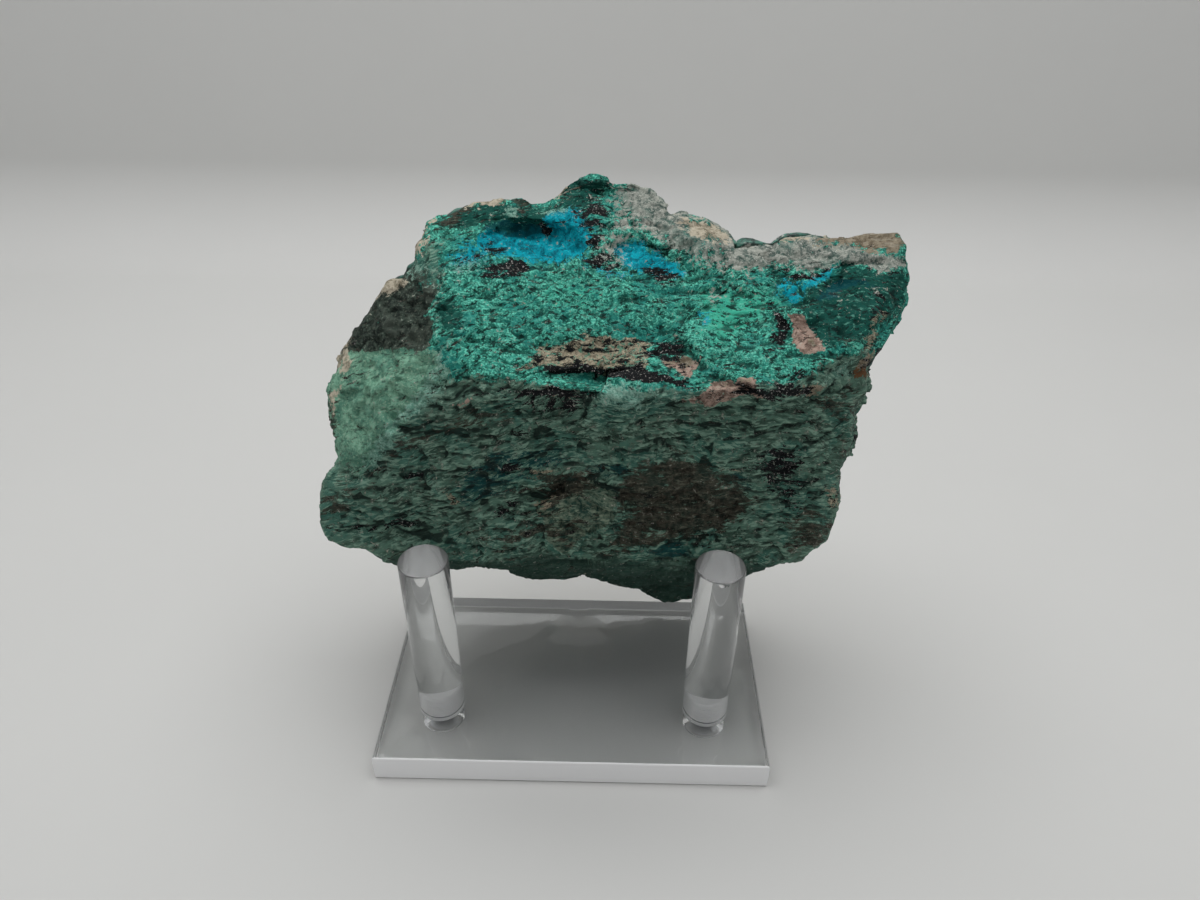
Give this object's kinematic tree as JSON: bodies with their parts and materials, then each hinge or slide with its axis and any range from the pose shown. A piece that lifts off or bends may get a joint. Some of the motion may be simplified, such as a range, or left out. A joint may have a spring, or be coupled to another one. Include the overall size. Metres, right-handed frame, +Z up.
{
  "type": "chrysocolla specimen on a stand",
  "caption": "Rough green and blue chrysocolla specimen with a pale quartz crust, leaning on a clear acrylic stand with a flat plate and upright pegs.",
  "frame": {"origin": "middle of the plate's underside, which is the face that the stand rests on", "axes": "+Z up, +X to the right along the plate's long side, +Y away from the side where the pegs stand, so the stone's bright face and the pegs are on the -Y side"},
  "size_m": [0.1116, 0.0572, 0.1065],
  "materials": {
    "chrysocolla": "rough, broken, blue-green with dark, tan and white patches",
    "acrylic": "clear, polished",
    "dark_steel": "dark oxide"
  },
  "bodies": {
    "root": {"specimen": "chrysocolla", "base_plate": "acrylic", "peg_left": "acrylic", "peg_right": "acrylic", "screw_left": "dark_steel", "screw_right": "dark_steel"}
  },
  "joints": []
}
